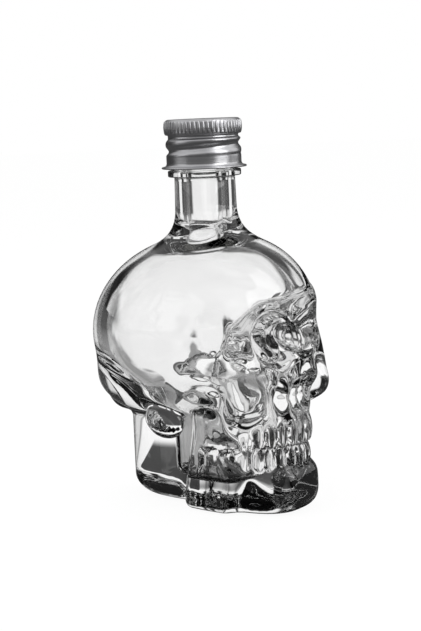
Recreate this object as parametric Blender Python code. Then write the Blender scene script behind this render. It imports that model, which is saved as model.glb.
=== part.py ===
"""Miniature skull bottle: a moulded glass skull with its neck, a rolled aluminium screw cap, and its liner.

Metres, +Z up. The skull faces +X. The origin is on the axis of the neck, in the plane of the foot.
The moulded skull is a blend of bone forms. Each form is a formula that is negative inside the glass. Forms
are joined and cut with rounded corners, the blend is netted and thinned, and the turned finish closes it at
the neck.
"""
import math

import bmesh
import bpy
import numpy as np

MM = 0.001

# Skull, outside
SKULL_LENGTH = 59.6 * MM         # back of the braincase to the front of the nose
SKULL_WIDTH = 42.4 * MM          # widest across the braincase
CROWN_HEIGHT = 63.6 * MM         # foot to crown
FOOT_FILLET = 2.5 * MM           # rounding between the foot and the sides
SHOULDER_FILLET = 6.5 * MM       # rounding between the crown and the neck
NECK_ROOT = 9.0 * MM             # how far the neck reaches into the crown before they are blended

# Skull, inside
WALL = 3.6 * MM                  # glass round the braincase
LEAST_WALL = 1.5 * MM            # glass behind the deepest recess
JAW_FLOOR = 6.0 * MM             # glass under the cavity in the jaw

# Neck and finish
NECK_LENGTH = 24.4 * MM          # crown to lip
NECK_RADIUS = 7.0 * MM
NECK_TAPER = 0.02                # growth of the radius for each metre down
BORE_RADIUS = 4.5 * MM
BORE_ROOT = 12.0 * MM            # how far below the crown the bore opens into the hollow
BEAD_RADIUS = 8.5 * MM           # collar that the bottle is held by while it is made
BEAD_WIDTH = 1.5 * MM
BEAD_DROP = 9.7 * MM             # lip to the top of the collar
BEAD_CORNER = 0.3 * MM
FINISH_RADIUS = 7.8 * MM         # glass under the cap
LIP_CORNER = 0.8 * MM

# Cap and liner
CAP_WALL = 0.4 * MM
CAP_ROOM = 0.5 * MM              # running gap round the glass, which the thread takes up
CAP_DEPTH = 9.3 * MM             # lip to the lower edge of the cap
CAP_CORNER = 1.0 * MM
KNURL_HEIGHT = 3.7 * MM
KNURL_STEP = 0.4 * MM            # how far the knurled band stands out from the skirt
KNURL_COUNT = 54
KNURL_CUT = 0.22 * MM
GROOVE_WIDTH = 0.9 * MM          # groove under the knurled band
GROOVE_CUT = 0.25 * MM
RIM_FLARE = 1.2 * MM             # out-turned lower edge
RIM_HEIGHT = 0.8 * MM
LINER_THICKNESS = 1.0 * MM
LINER_ROOM = 0.3 * MM            # liner to the wall of the cap
SEAT_GAP = 0.3 * MM              # between faces that touch

# Fineness
NET_STEP = 0.72 * MM
SKULL_TRIANGLES = 8600
FINISH_SIDES = 48
CAP_SIDES = 2 * KNURL_COUNT
NET_BACK = 0.57                  # reach of the net behind the neck's axis, in skull lengths
NET_FRONT = 0.54                 # its reach before the axis, in skull lengths
NET_SIDE = 0.55                  # its reach to each side, in skull widths
NECK_STUB = 1.0 * MM             # neck that is netted with the skull, above the shoulder
STUB_CUT = 0.5 * MM              # how far below the turned finish the stub is cut off
FOOT_SNAP = 0.02 * MM            # net points this near the foot's plane are put on it

# Heights that follow
LIP_HEIGHT = CROWN_HEIGHT + NECK_LENGTH
JOIN_HEIGHT = CROWN_HEIGHT + SHOULDER_FILLET + NECK_STUB
LINER_BOTTOM = LIP_HEIGHT + SEAT_GAP
LINER_TOP = LINER_BOTTOM + LINER_THICKNESS
CAP_TOP = LINER_TOP + SEAT_GAP + CAP_WALL
CAP_BOTTOM = LIP_HEIGHT - CAP_DEPTH
CAP_BORE = FINISH_RADIUS + CAP_ROOM
CAP_SKIRT = CAP_BORE + CAP_WALL

# The bone forms below are set out in millimetres, on a skull of this length, width and height
FORM_SIZE = np.array((59.6, 42.4, 63.6))
FORM_SCALE = np.array((SKULL_LENGTH, SKULL_WIDTH, CROWN_HEIGHT)) / FORM_SIZE


def smooth_min(a, b, k):
    """Join two forms with a fillet about k wide."""
    h = np.maximum(k - np.abs(a - b), 0.0) / k
    return np.minimum(a, b) - h * h * k * 0.25


def smooth_max(a, b, k):
    """Keep what two forms share, with a fillet about k wide."""
    return -smooth_min(-a, -b, k)


def cut(a, b, k):
    """Cut form b out of form a, with a fillet about k wide."""
    return smooth_max(a, -b, k)


def placed(p, centre, yaw=0.0, pitch=0.0, roll=0.0):
    """Points as a form sees them. In degrees, yaw turns it about Z, pitch lowers its nose, roll its left."""
    q = p - np.array(centre)
    if yaw:
        c, s = math.cos(math.radians(yaw)), math.sin(math.radians(yaw))
        q = np.stack((q[:, 0] * c + q[:, 1] * s, -q[:, 0] * s + q[:, 1] * c, q[:, 2]), 1)
    if pitch:
        c, s = math.cos(math.radians(pitch)), math.sin(math.radians(pitch))
        q = np.stack((q[:, 0] * c - q[:, 2] * s, q[:, 1], q[:, 0] * s + q[:, 2] * c), 1)
    if roll:
        c, s = math.cos(math.radians(roll)), math.sin(math.radians(roll))
        q = np.stack((q[:, 0], q[:, 1] * c - q[:, 2] * s, q[:, 1] * s + q[:, 2] * c), 1)
    return q


def egg(p, centre, radii, yaw=0.0, pitch=0.0, roll=0.0):
    """Ellipsoid."""
    q = placed(p, centre, yaw, pitch, roll)
    r = np.array(radii)
    k0 = np.sqrt(((q / r) ** 2).sum(1))
    k1 = np.sqrt(((q / (r * r)) ** 2).sum(1))
    return k0 * (k0 - 1.0) / np.maximum(k1, 1e-6)


def bone(p, start, end, start_radius, end_radius):
    """Round-ended rod that tapers."""
    a = np.array(start)
    d = np.array(end) - a
    t = np.clip(((p - a) @ d) / (d @ d), 0.0, 1.0)
    near = a + t[:, None] * d
    return np.sqrt(((p - near) ** 2).sum(1)) - (start_radius + (end_radius - start_radius) * t)


def block(p, centre, half, corner, yaw=0.0, pitch=0.0):
    """Box with rounded corners."""
    q = np.abs(placed(p, centre, yaw, pitch)) - (np.array(half) - corner)
    outside = np.sqrt((np.maximum(q, 0.0) ** 2).sum(1))
    return outside + np.minimum(q.max(1), 0.0) - corner


def arch(p, centre_x, half_x, half_y, low, high, corner, squareness=2.0):
    """Upright oval slab, the plan of a dental arch. Squareness over 2 gives fuller corners."""
    n = squareness
    qx = np.abs(p[:, 0] - centre_x) / half_x
    qy = np.abs(p[:, 1]) / half_y
    k = np.maximum((qx ** n + qy ** n) ** (1.0 / n), 1e-6)
    slope = np.sqrt((qx ** (n - 1.0) / half_x) ** 2 + (qy ** (n - 1.0) / half_y) ** 2) * k ** (1.0 - n)
    side = (k - 1.0) / np.maximum(slope, 1e-3)
    ends = np.maximum(low - p[:, 2], p[:, 2] - high)
    return smooth_max(side, ends, corner)


def braincase(p):
    f = egg(p, (-2.9, 0, 41.4), (28.4, 21.2, 21.8), pitch=-8.0)
    f = smooth_min(f, egg(p, (-16.5, 0, 29.0), (13.8, 14.0, 8.0)), 5.0)
    f = smooth_min(f, egg(p, (-23.2, 0, 23.8), (4.8, 7.4, 4.0)), 2.5)
    f = smooth_min(f, egg(p, (8.0, 0, 44.6), (17.2, 16.8, 17.6)), 5.0)
    temple = egg(p, (15.4, 22.6, 39.2), (7.6, 8.2, 11.0), yaw=-8.0)
    return cut(f, temple, 2.0)


def brow(p):
    ridge = bone(p, (22.6, 3.4, 46.2), (18.0, 12.0, 48.2), 2.8, 1.8)
    outer_rim = bone(p, (17.2, 13.2, 47.6), (18.2, 13.8, 37.0), 1.6, 2.0)
    return smooth_min(ridge, outer_rim, 4.0)


def cheek(p):
    body = bone(p, (17.4, 12.6, 37.0), (18.2, 13.2, 28.6), 3.6, 5.2)
    body = smooth_max(body, (p[:, 0] * 0.78 + p[:, 1] * 0.57 + p[:, 2] * 0.26) - 35.0, 3.0)
    body = smooth_max(body, 23.2 - p[:, 2], 2.5)
    buttress = bone(p, (17.2, 11.6, 27.6), (12.4, 8.2, 19.6), 3.6, 3.0)
    bar = bone(p, (16.4, 15.0, 33.4), (5.0, 17.0, 34.0), 3.4, 2.2)
    return smooth_min(bar, smooth_min(body, buttress, 4.0), 4.0)


def nose(p):
    bridge = bone(p, (22.6, 0, 46.0), (27.0, 0, 33.0), 2.8, 1.5)
    side = bone(p, (22.4, 2.6, 40.0), (23.2, 5.4, 31.0), 2.4, 2.2)
    return smooth_min(bridge, side, 3.0)


def upper_jaw(p):
    body = egg(p, (14.0, 0, 26.0), (11.0, 11.0, 11.0))
    return smooth_min(body, arch(p, 11.5, 12.8, 9.6, 15.4, 27.0, 1.5), 2.0)


def lower_jaw(p):
    body = arch(p, 9.3, 15.2, 10.4, -3.0, 8.4, 4.0, squareness=2.6)
    ledge = arch(p, 10.6, 12.8, 9.2, 4.0, 14.4, 1.5)
    body = smooth_min(body, ledge, 3.0)
    chin = block(p, (20.4, 0, 6.4), (4.6, 7.2, 5.0), 3.4)
    body = smooth_min(body, chin, 3.0)
    branch = block(p, (6.6, 9.6, 11.0), (6.6, 3.0, 13.0), 2.6, pitch=8.0)
    slope = (p[:, 0] - 13.6) * 0.86 + (p[:, 2] - 17.0) * 0.5
    return smooth_min(body, smooth_max(branch, slope, 3.0), 4.0)


def teeth(p, height, half_height, centre_x, half_x, half_y, radius):
    """One side's seven teeth, evenly spaced round a dental arch."""
    f = np.full(len(p), 1e3)
    for i in range(7):
        a = math.radians((i + 0.5) * 92.0 / 7)
        yaw = math.degrees(math.atan2(math.sin(a) / half_y, math.cos(a) / half_x))
        centre = (centre_x + half_x * math.cos(a), half_y * math.sin(a), height)
        f = np.minimum(f, egg(p, centre, (radius * 0.9, radius, half_height), yaw=yaw))
    return f


def skull(p):
    """Outside of the skull, in the millimetres of the forms. The two sides mirror each other."""
    p = np.stack((p[:, 0], np.abs(p[:, 1]), p[:, 2]), 1)
    f = smooth_min(braincase(p), brow(p), 3.0)
    f = smooth_min(f, smooth_min(upper_jaw(p), nose(p), 3.0), 4.0)
    f = smooth_min(f, cheek(p), 3.0)
    mastoid = egg(p, (-5.6, 12.2, 20.6), (5.0, 4.0, 3.6), pitch=28.0)
    f = smooth_min(f, mastoid, 1.5)
    f = smooth_min(f, lower_jaw(p), 1.0)
    rear_column = arch(p, -12.4, 10.2, 9.0, -6.5, 29.1, 4.0)
    rear_column = smooth_min(rear_column, block(p, (-2.0, 0, 11.3), (9.0, 7.8, 17.8), 4.0), 2.0)
    raised_heel = -(p[:, 0] + 8.5) * 0.25 - p[:, 2] * 0.97
    rear_column = smooth_max(rear_column, raised_heel, 2.0)
    f = smooth_min(f, rear_column, 1.6)
    behind_teeth = arch(p, 9.0, 13.4, 8.3, 5.0, 25.0, 2.0)
    f = smooth_min(f, behind_teeth, 2.0)
    orbit = egg(p, (23.6, 8.2, 40.8), (9.0, 5.4, 6.8), yaw=28.0, roll=30.0)
    f = cut(f, orbit, 1.4)
    nostril = egg(p, (26.4, 1.9, 26.6), (4.6, 2.5, 4.8))
    f = cut(f, nostril, 0.8)
    cheek_hollow = egg(p, (24.0, 8.6, 26.8), (4.2, 2.6, 4.4), yaw=20.0)
    f = cut(f, cheek_hollow, 1.8)
    under_bar = egg(p, (9.6, 15.6, 27.2), (5.6, 4.4, 3.6))
    f = cut(f, under_bar, 1.2)
    jaw_hollow = egg(p, (13.6, 12.4, 12.6), (3.8, 2.2, 2.6), pitch=30.0)
    f = cut(f, jaw_hollow, 0.8)
    f = smooth_min(f, teeth(p, 18.8, 3.2, 11.5, 13.0, 9.8, 1.35), 0.6)
    return smooth_min(f, teeth(p, 12.8, 2.6, 10.6, 13.4, 9.6, 1.25), 0.6)


def hollow(p, wall):
    """Inside of the skull before its least wall is kept, in the millimetres of the forms."""
    f = egg(p, (-2.9, 0, 42.0), (28.4 - wall, 21.2 - wall, 22.4 - wall), pitch=-9.0)
    f = smooth_min(f, egg(p, (8.0, 0, 44.6), (17.2 - wall, 16.8 - wall, 17.6 - wall)), 5.0)
    behind_orbits = egg(p, (25.4, 0, 39.5), (13.0, 20.0, 8.5))
    f = cut(f, behind_orbits, 3.0)
    throat = arch(p, 3.2, 12.2, 8.4, 4.6, 36.6, 5.0, squareness=2.4)
    return smooth_min(f, throat, 6.0)


def outer_glass(p):
    """Outside of the moulded glass with its neck and foot, in metres."""
    height = p[:, 2]
    neck = np.hypot(p[:, 0], p[:, 1]) - neck_radius(height)
    neck = np.maximum(neck, CROWN_HEIGHT - NECK_ROOT - height)
    return smooth_max(smooth_min(skull(p / FORM_SCALE) * MM, neck, SHOULDER_FILLET), -height, FOOT_FILLET)


def glass(p):
    """The moulded glass up to the neck, in metres: negative inside the glass."""
    height = p[:, 2]
    outside = outer_glass(p)
    bore = np.maximum(np.hypot(p[:, 0], p[:, 1]) - BORE_RADIUS, CROWN_HEIGHT - BORE_ROOT - height)
    inside = smooth_min(hollow(p / FORM_SCALE, WALL / MM) * MM, bore, SHOULDER_FILLET)
    inside = smooth_max(inside, JAW_FLOOR - height, FOOT_FILLET)
    inside = smooth_max(inside, outside + LEAST_WALL, LEAST_WALL)
    return np.maximum(outside, -inside)


def neck_radius(height):
    return NECK_RADIUS + NECK_TAPER * np.maximum(LIP_HEIGHT - BEAD_DROP - height, 0.0)


def parted(value):
    """Fill the grid points through which two sheets of the surface would share an edge of the net."""
    touching = True
    while touching:
        touching = False
        for axis in range(3):
            grid = np.moveaxis(value, axis, 2)
            a, b, c, d = grid[:-1, :-1], grid[1:, :-1], grid[:-1, 1:], grid[1:, 1:]
            for p, q, r, s in ((a, d, b, c), (b, c, a, d)):
                crossed = (p < 0.0) & (q < 0.0) & (r >= 0.0) & (s >= 0.0)
                r_nearer = crossed & (r <= s)
                r[r_nearer] = -1e-9
                s[crossed & ~r_nearer] = -1e-9
                touching = touching or crossed.any()
    return value


def surface_net(form, low, high, step):
    """Quads over the surface where form is zero, with a point in each grid cell that the surface crosses."""
    size = [int(math.ceil((h - l) / step)) + 1 for l, h in zip(low, high)]
    axes = [low[i] + step * np.arange(size[i]) for i in range(3)]
    value = np.empty(size)
    for i, x in enumerate(axes[0]):
        y, z = np.meshgrid(axes[1], axes[2], indexing="ij")
        value[i] = form(np.stack((np.full(y.size, x), y.ravel(), z.ravel()), 1)).reshape(y.shape)
    value = parted(value)
    cells = [s - 1 for s in size]
    total = np.zeros(cells + [3])
    count = np.zeros(cells)
    for axis in range(3):
        for side in range(4):
            start = np.zeros(3, int)
            start[(axis + 1) % 3] = side % 2
            start[(axis + 2) % 3] = side // 2
            end = start.copy()
            end[axis] += 1
            a = value[tuple(slice(s, s + c) for s, c in zip(start, cells))]
            b = value[tuple(slice(s, s + c) for s, c in zip(end, cells))]
            crossed = (a < 0.0) != (b < 0.0)
            along = np.where(crossed, a / np.where(crossed, a - b, 1.0), 0.0)
            for k in range(3):
                total[..., k] += np.where(crossed, start[k] + (along if k == axis else 0.0), 0.0)
            count += crossed
    used = count > 0
    index = np.full(used.shape, -1)
    index[used] = np.arange(used.sum())
    points = np.array(low) + step * (np.argwhere(used) + total[used] / count[used][:, None])
    inside = value < 0.0
    faces = []
    for axis in range(3):
        near = inside.take(range(size[axis] - 1), axis)
        far = inside.take(range(1, size[axis]), axis)
        at = np.argwhere(near != far)
        leaving = near[tuple(at.T)]
        u, v = np.zeros(3, int), np.zeros(3, int)
        u[(axis + 1) % 3] = 1
        v[(axis + 2) % 3] = 1
        quad = np.stack([index[tuple((at - step_back).T)] for step_back in (0 * u, u, u + v, v)], 1)
        quad[~leaving] = quad[~leaving][:, ::-1]
        faces.append(quad)
    for _ in range(3):
        points = settled(form, points, step)
    return points, np.concatenate(faces)


def settled(form, points, step):
    """Net points moved on to the surface along the slope of the form."""
    h = step * 0.05
    value = form(points)
    slope = np.stack([(form(points + h * d) - form(points - h * d)) / (2.0 * h) for d in np.eye(3)], 1)
    move = (value / np.maximum((slope ** 2).sum(1), 0.05))[:, None] * slope
    length = np.sqrt((move ** 2).sum(1))
    return points - move * np.minimum(1.0, 0.4 * step / np.maximum(length, 1e-12))[:, None]


def thinned(points, faces, triangles):
    """A bmesh of the net, thinned where it is smooth to about the number of triangles."""
    mesh = bpy.data.meshes.new("moulded_net")
    mesh.from_pydata(points.tolist(), [], faces.tolist())
    guide = bpy.data.objects.new("moulded_net", mesh)
    bpy.context.collection.objects.link(guide)
    thin = guide.modifiers.new("thin", 'DECIMATE')
    thin.ratio = triangles / (2.0 * len(faces))
    thin.use_collapse_triangulate = True
    evaluated = guide.evaluated_get(bpy.context.evaluated_depsgraph_get())
    bm = bmesh.new()
    bm.from_mesh(evaluated.to_mesh())
    evaluated.to_mesh_clear()
    bpy.data.objects.remove(guide)
    bpy.data.meshes.remove(mesh)
    return bm


def drop_bubbles(bm):
    """Keep only the largest connected surface, without the specks that a blend can leave in thin glass."""
    left = set(bm.verts)
    surfaces = []
    while left:
        found = {left.pop()}
        border = list(found)
        while border:
            v = border.pop()
            near = {e.other_vert(v) for e in v.link_edges} - found
            found |= near
            border += near
        left -= found
        surfaces.append(found)
    surfaces.sort(key=len)
    bmesh.ops.delete(bm, geom=[v for surface in surfaces[:-1] for v in surface], context='VERTS')


def open_loops(bm):
    """The open edge loops as lists of vertices, widest first."""
    edges = {e for e in bm.edges if e.is_boundary}
    loops = []
    while edges:
        edge = edges.pop()
        loop = [edge.verts[0], edge.verts[1]]
        while True:
            following = [e for e in loop[-1].link_edges if e in edges]
            if not following:
                break
            edges.discard(following[0])
            loop.append(following[0].other_vert(loop[-1]))
        if loop[0] is loop[-1]:
            loop.pop()
        loops.append(loop)
    return sorted(loops, key=lambda loop: -max(math.hypot(v.co.x, v.co.y) for v in loop))


def zip_loops(bm, lower, upper, outward):
    """Fill between two loops round the Z axis, a triangle at a time, in the order of their angles."""
    def turn(v):
        return math.atan2(v.co.y, v.co.x) % math.tau

    def ahead(loop, i):
        return turn(loop[(i + 1) % len(loop)]) + (math.tau if i + 1 >= len(loop) else 0.0)

    lower = sorted(lower, key=turn)
    upper = sorted(upper, key=turn)
    i = j = 0
    while i < len(lower) or j < len(upper):
        face = [lower[i % len(lower)], upper[j % len(upper)]]
        if j >= len(upper) or (i < len(lower) and ahead(lower, i) <= ahead(upper, j)):
            i += 1
            face.insert(1, lower[i % len(lower)])
        else:
            j += 1
            face.insert(1, upper[j % len(upper)])
        bm.faces.new(face if outward else face[::-1])


def turned_shell(bm, outline, sides):
    """Turn an outline of (radius, height) points about Z. The outline runs with the material on its left."""
    rings = []
    for radius, height in outline:
        if radius == 0.0:
            rings.append([bm.verts.new((0.0, 0.0, height))])
            continue
        ring = []
        for i in range(sides):
            a = math.tau * i / sides
            ring.append(bm.verts.new((radius * math.cos(a), radius * math.sin(a), height)))
        rings.append(ring)
    for first, second in zip(rings, rings[1:]):
        for i in range(sides):
            j = (i + 1) % sides
            corners = [first[i % len(first)], first[j % len(first)]]
            corners += [second[j % len(second)], second[i % len(second)]]
            bm.faces.new(list(dict.fromkeys(corners)))
    return rings


def round_corner(centre_r, centre_z, radius, start, end, steps):
    """Points of an arc in an outline, from start to end in degrees."""
    points = []
    for i in range(steps + 1):
        a = math.radians(start + (end - start) * i / steps)
        points.append((centre_r + radius * math.cos(a), centre_z + radius * math.sin(a)))
    return points


def moulded_skull():
    """Bmesh of the glass up to the neck, cut open a little under the finish."""
    def capped_glass(p):
        return np.maximum(glass(p), p[:, 2] - JOIN_HEIGHT - NET_STEP)

    rows = math.ceil(NET_SIDE * SKULL_WIDTH / NET_STEP)
    low = (-NET_BACK * SKULL_LENGTH, -rows * NET_STEP, -2.5 * NET_STEP)
    high = (NET_FRONT * SKULL_LENGTH, rows * NET_STEP, JOIN_HEIGHT + 3.0 * NET_STEP)
    bm = thinned(*surface_net(capped_glass, low, high, NET_STEP), SKULL_TRIANGLES)
    drop_bubbles(bm)
    for v in bm.verts:
        if abs(v.co.z) < FOOT_SNAP:
            v.co.z = 0.0
    everything = bm.verts[:] + bm.edges[:] + bm.faces[:]
    cut_place = (0, 0, JOIN_HEIGHT - STUB_CUT)
    bmesh.ops.bisect_plane(bm, geom=everything, plane_co=cut_place, plane_no=(0, 0, 1), clear_outer=True)
    return bm


def glass_bottle():
    """Skull, neck, collar and finish in one piece, with the bore open at the lip."""
    bm = moulded_skull()
    outer_loop, inner_loop = open_loops(bm)
    bead_top = LIP_HEIGHT - BEAD_DROP
    bead_bottom = bead_top - BEAD_WIDTH
    outline = [(neck_radius(JOIN_HEIGHT), JOIN_HEIGHT), (neck_radius(bead_bottom), bead_bottom)]
    outline += [(BEAD_RADIUS - BEAD_CORNER, bead_bottom), (BEAD_RADIUS, bead_bottom + BEAD_CORNER)]
    outline += [(BEAD_RADIUS, bead_top - BEAD_CORNER), (BEAD_RADIUS - BEAD_CORNER, bead_top)]
    outline += [(FINISH_RADIUS, bead_top)]
    outline += round_corner(FINISH_RADIUS - LIP_CORNER, LIP_HEIGHT - LIP_CORNER, LIP_CORNER, 0, 90, 4)
    outline += round_corner(BORE_RADIUS + LIP_CORNER, LIP_HEIGHT - LIP_CORNER, LIP_CORNER, 90, 180, 4)
    outline += [(BORE_RADIUS, JOIN_HEIGHT)]
    rings = turned_shell(bm, outline, FINISH_SIDES)
    zip_loops(bm, outer_loop, rings[0], outward=True)
    zip_loops(bm, inner_loop, rings[-1], outward=False)
    return bm


def screw_cap():
    """One rolled shell: top, knurled band, groove, plain skirt and out-turned lower edge."""
    inner_top = CAP_TOP - CAP_WALL
    knurl_radius = CAP_SKIRT + KNURL_STEP
    band_bottom = CAP_TOP - KNURL_HEIGHT
    groove_bottom = band_bottom - GROOVE_WIDTH
    flare_top = CAP_BOTTOM + RIM_HEIGHT
    rim_radius = CAP_SKIRT + RIM_FLARE
    outline = [(0.0, inner_top), (CAP_BORE, inner_top), (CAP_BORE, flare_top)]
    outline += [(CAP_BORE + 0.3 * RIM_FLARE, CAP_BOTTOM + 0.5 * CAP_WALL)]
    outline += [(rim_radius - CAP_WALL, CAP_BOTTOM)]
    outline += [(rim_radius, CAP_BOTTOM + 0.5 * CAP_WALL), (rim_radius - CAP_WALL, CAP_BOTTOM + CAP_WALL)]
    outline += [(CAP_SKIRT + 0.25 * RIM_FLARE, CAP_BOTTOM + 1.3 * CAP_WALL), (CAP_SKIRT, flare_top)]
    outline += [(CAP_SKIRT, groove_bottom - 0.5 * GROOVE_WIDTH), (CAP_SKIRT - GROOVE_CUT, groove_bottom)]
    outline += [(CAP_SKIRT - GROOVE_CUT, band_bottom - 0.3 * GROOVE_WIDTH)]
    outline += [(knurl_radius - CAP_WALL, band_bottom)]
    outline += [(knurl_radius, band_bottom + 0.5 * CAP_WALL)]
    outline += round_corner(knurl_radius - CAP_CORNER, CAP_TOP - CAP_CORNER, CAP_CORNER, 0, 90, 3)
    outline += [(0.0, CAP_TOP)]
    bm = bmesh.new()
    rings = turned_shell(bm, outline, CAP_SIDES)
    for ring, (radius, height) in zip(rings, outline):
        if radius > knurl_radius - 0.5 * KNURL_STEP and height > band_bottom:
            for v in ring[1::2]:
                v.co.xy *= (radius - KNURL_CUT) / radius
    return bm


def cap_liner():
    """Soft disc that seals on the lip."""
    radius = CAP_BORE - LINER_ROOM
    corner = 0.2 * LINER_THICKNESS
    outline = [(0.0, LINER_BOTTOM), (radius - corner, LINER_BOTTOM), (radius, LINER_BOTTOM + corner)]
    outline += [(radius, LINER_TOP - corner), (radius - corner, LINER_TOP), (0.0, LINER_TOP)]
    bm = bmesh.new()
    turned_shell(bm, outline, FINISH_SIDES)
    return bm


def material(name, colour, roughness, metallic=0.0, transmission=0.0):
    made = bpy.data.materials.new(name)
    made.use_nodes = True
    shader = made.node_tree.nodes["Principled BSDF"]
    shader.inputs["Base Color"].default_value = (*colour, 1.0)
    shader.inputs["Roughness"].default_value = roughness
    shader.inputs["Metallic"].default_value = metallic
    shader.inputs["Transmission Weight"].default_value = transmission
    shader.inputs["IOR"].default_value = 1.5
    made.diffuse_color = (*colour, 1.0)
    return made


def add_piece(name, bm, look, parent=None):
    """Make the piece an object. One with a parent is set down by the parent's height, so it stays in place."""
    mesh = bpy.data.meshes.new(name)
    bm.to_mesh(mesh)
    bm.free()
    mesh.materials.append(look)
    mesh.shade_smooth()
    mesh.set_sharp_from_angle(angle=math.radians(38.0))
    piece = bpy.data.objects.new(name, mesh)
    bpy.context.collection.objects.link(piece)
    if parent:
        piece.parent = parent
        piece.location.z = -parent.location.z


def build():
    for old in list(bpy.data.objects):
        bpy.data.objects.remove(old)
    clear_glass = material("clear_flint_glass", (0.97, 0.98, 0.98), 0.02, transmission=1.0)
    aluminium = material("plain_aluminium", (0.78, 0.78, 0.79), 0.32, metallic=1.0)
    foam = material("liner_foam", (0.86, 0.86, 0.84), 0.6)
    add_piece("glass_bottle", glass_bottle(), clear_glass)
    cap_axis = bpy.data.objects.new("cap_axis", None)
    bpy.context.collection.objects.link(cap_axis)
    cap_axis.location.z = LIP_HEIGHT
    add_piece("cap_liner", cap_liner(), foam, parent=cap_axis)
    add_piece("cap_shell", screw_cap(), aluminium, parent=cap_axis)


build()
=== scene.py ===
import math

import bmesh
import bpy
import numpy as np
from mathutils import Matrix, Vector


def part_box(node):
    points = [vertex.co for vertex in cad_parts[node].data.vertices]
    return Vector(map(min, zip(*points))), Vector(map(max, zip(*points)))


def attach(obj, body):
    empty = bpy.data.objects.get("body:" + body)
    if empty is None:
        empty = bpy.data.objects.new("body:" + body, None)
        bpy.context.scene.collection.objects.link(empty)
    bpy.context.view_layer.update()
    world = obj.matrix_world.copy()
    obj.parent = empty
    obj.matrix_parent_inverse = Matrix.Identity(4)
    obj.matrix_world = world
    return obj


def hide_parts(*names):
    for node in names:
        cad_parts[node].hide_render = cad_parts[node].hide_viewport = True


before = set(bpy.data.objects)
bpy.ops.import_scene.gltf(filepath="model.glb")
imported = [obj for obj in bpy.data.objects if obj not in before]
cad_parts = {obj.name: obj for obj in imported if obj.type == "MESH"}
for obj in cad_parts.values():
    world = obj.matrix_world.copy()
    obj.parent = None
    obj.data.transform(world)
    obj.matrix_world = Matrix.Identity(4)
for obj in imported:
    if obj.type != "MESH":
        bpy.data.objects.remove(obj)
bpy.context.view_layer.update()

bl_info = {
    "name": "Skull bottle",
    "version": (1, 0, 0),
    "blender": (4, 5, 0),
    "location": "3D View > Sidebar > Skull bottle",
    "description": "Builds a miniature glass skull bottle with a rolled aluminium screw cap, and its studio",
    "category": "Object",
}

# The modelled sizes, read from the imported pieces, in metres
MM = 0.001
GLASS_LOW, GLASS_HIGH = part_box("glass_bottle")
CAP_LOW, CAP_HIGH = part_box("cap_shell")

# Forms run this far into each other before they are joined
NECK_ROOT = 9.0 * MM
BORE_ROOT = 12.0 * MM
# The glass between the turns of its thread lies this far inside the finish radius
THREAD_ROOT = 0.15 * MM
# The groove under the knurled band is this deep, and the band lies this far inside the crests of its ribs
GROOVE_DEPTH = 0.55 * MM
BAND_INSET = 0.26 * MM
WHITE = (1.0, 1.0, 1.0, 1.0)


# Bone forms, in millimetres: each is negative inside the glass

def smooth_min(a, b, k):
    """Join two forms with a fillet about k wide."""
    h = np.maximum(k - np.abs(a - b), 0.0) / k
    return np.minimum(a, b) - h * h * k * 0.25


def smooth_max(a, b, k):
    """Keep what two forms share, with a fillet about k wide."""
    return -smooth_min(-a, -b, k)


def cut(a, b, k):
    """Cut form b out of form a, with a fillet about k wide."""
    return smooth_max(a, -b, k)


def placed(p, centre, yaw=0.0, pitch=0.0, roll=0.0):
    """Points as a form sees them. In degrees, yaw turns it about Z, pitch lowers its nose, roll its left."""
    q = p - np.array(centre)
    if yaw:
        c, s = math.cos(math.radians(yaw)), math.sin(math.radians(yaw))
        q = np.stack((q[:, 0] * c + q[:, 1] * s, -q[:, 0] * s + q[:, 1] * c, q[:, 2]), 1)
    if pitch:
        c, s = math.cos(math.radians(pitch)), math.sin(math.radians(pitch))
        q = np.stack((q[:, 0] * c - q[:, 2] * s, q[:, 1], q[:, 0] * s + q[:, 2] * c), 1)
    if roll:
        c, s = math.cos(math.radians(roll)), math.sin(math.radians(roll))
        q = np.stack((q[:, 0], q[:, 1] * c - q[:, 2] * s, q[:, 1] * s + q[:, 2] * c), 1)
    return q


def egg(p, centre, radii, yaw=0.0, pitch=0.0, roll=0.0):
    """Ellipsoid."""
    q = placed(p, centre, yaw, pitch, roll)
    r = np.array(radii)
    k0 = np.sqrt(((q / r) ** 2).sum(1))
    k1 = np.sqrt(((q / (r * r)) ** 2).sum(1))
    return k0 * (k0 - 1.0) / np.maximum(k1, 1e-6)


def bone(p, start, end, start_radius, end_radius):
    """Round-ended rod that tapers."""
    a = np.array(start)
    d = np.array(end) - a
    t = np.clip(((p - a) @ d) / (d @ d), 0.0, 1.0)
    near = a + t[:, None] * d
    return np.sqrt(((p - near) ** 2).sum(1)) - (start_radius + (end_radius - start_radius) * t)


def block(p, centre, half, corner, yaw=0.0, pitch=0.0):
    """Box with rounded corners."""
    q = np.abs(placed(p, centre, yaw, pitch)) - (np.array(half) - corner)
    outside = np.sqrt((np.maximum(q, 0.0) ** 2).sum(1))
    return outside + np.minimum(q.max(1), 0.0) - corner


def arch(p, centre_x, half_x, half_y, low, high, corner, squareness=2.0):
    """Upright oval slab, the plan of a dental arch. Squareness over 2 gives fuller corners."""
    n = squareness
    qx = np.abs(p[:, 0] - centre_x) / half_x
    qy = np.abs(p[:, 1]) / half_y
    k = np.maximum((qx ** n + qy ** n) ** (1.0 / n), 1e-6)
    slope = np.sqrt((qx ** (n - 1.0) / half_x) ** 2 + (qy ** (n - 1.0) / half_y) ** 2) * k ** (1.0 - n)
    side = (k - 1.0) / np.maximum(slope, 1e-3)
    ends = np.maximum(low - p[:, 2], p[:, 2] - high)
    return smooth_max(side, ends, corner)


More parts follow.
